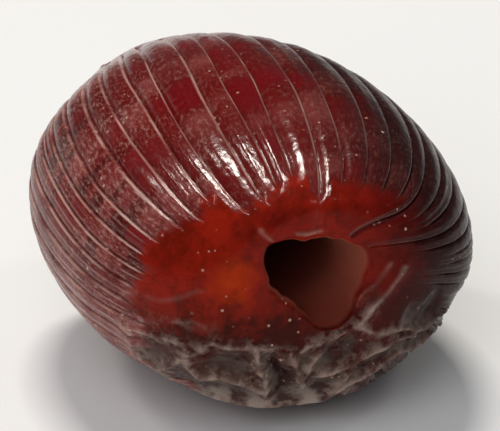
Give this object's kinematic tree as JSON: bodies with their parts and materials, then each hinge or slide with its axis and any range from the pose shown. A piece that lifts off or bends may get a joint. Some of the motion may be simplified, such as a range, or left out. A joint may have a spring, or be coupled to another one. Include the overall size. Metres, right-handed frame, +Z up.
{
  "type": "pitted jujube",
  "caption": "Candied jujube fruit with its stone punched out, scored lengthwise all round, with an open channel from end to end.",
  "frame": {"origin": "middle of the fruit's box, on the surface it rests on", "axes": "+Y along the stone channel from the barer front end to the back, +Z up across the flat way of the fruit, +X to the right seen from the front"},
  "size_m": [0.0302, 0.031, 0.0236],
  "materials": {
    "candied_fruit": "wet-glossy syrup-soaked jujube skin and flesh, translucent deep mahogany red, glowing red-orange at the bare front end round the channel mouth"
  },
  "bodies": {
    "root": {"pitted_jujube": "candied_fruit"}
  },
  "joints": []
}
